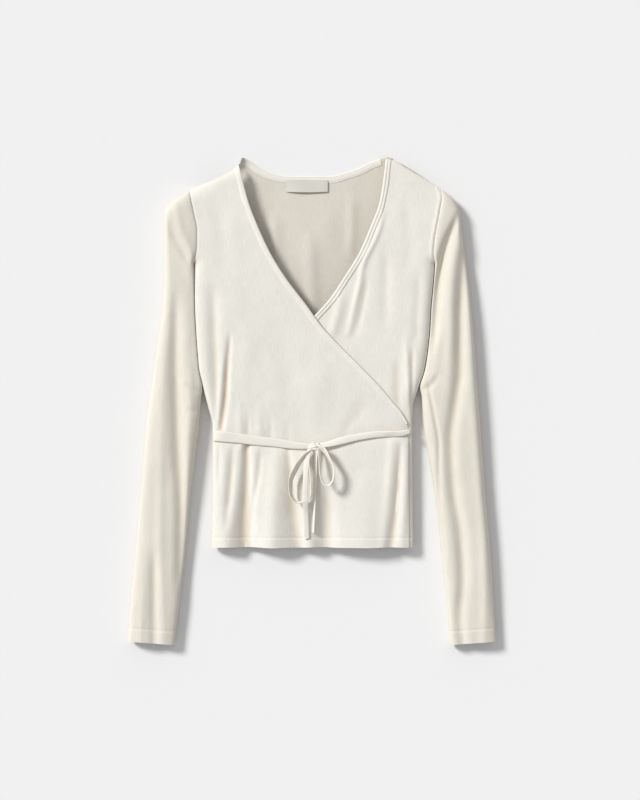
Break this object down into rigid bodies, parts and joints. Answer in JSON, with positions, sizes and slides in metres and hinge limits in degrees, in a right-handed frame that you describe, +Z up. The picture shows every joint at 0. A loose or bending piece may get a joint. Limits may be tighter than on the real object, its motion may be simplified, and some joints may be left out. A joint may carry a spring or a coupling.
{
  "type": "long-sleeved wrap top, laid flat",
  "caption": "Long-sleeved wrap top in cream rib jersey, laid flat and softly filled, its fronts crossed to a V neck and its waist tie in a bow.",
  "frame": {"origin": "centre of the garment's outline, on the surface it lies on", "axes": "+Y up the garment towards its neck, +X to the viewer's right, +Z up off the surface"},
  "size_m": [0.515, 0.683, 0.0467],
  "materials": {
    "jersey": "matte",
    "binding": "matte",
    "label": "satin"
  },
  "bodies": {
    "root": {"back": "jersey", "front_over": "jersey", "front_under": "jersey", "sleeve_left": "jersey", "sleeve_right": "jersey", "binding_over_front": "binding", "binding_under_front": "binding", "neck_tape": "binding", "neck_label": "label", "tie_left": "binding", "tie_right": "binding", "tie_knot": "binding", "tie_loop_left": "binding", "tie_loop_right": "binding", "tie_tail_long": "binding", "tie_tail_short": "binding"}
  },
  "joints": []
}
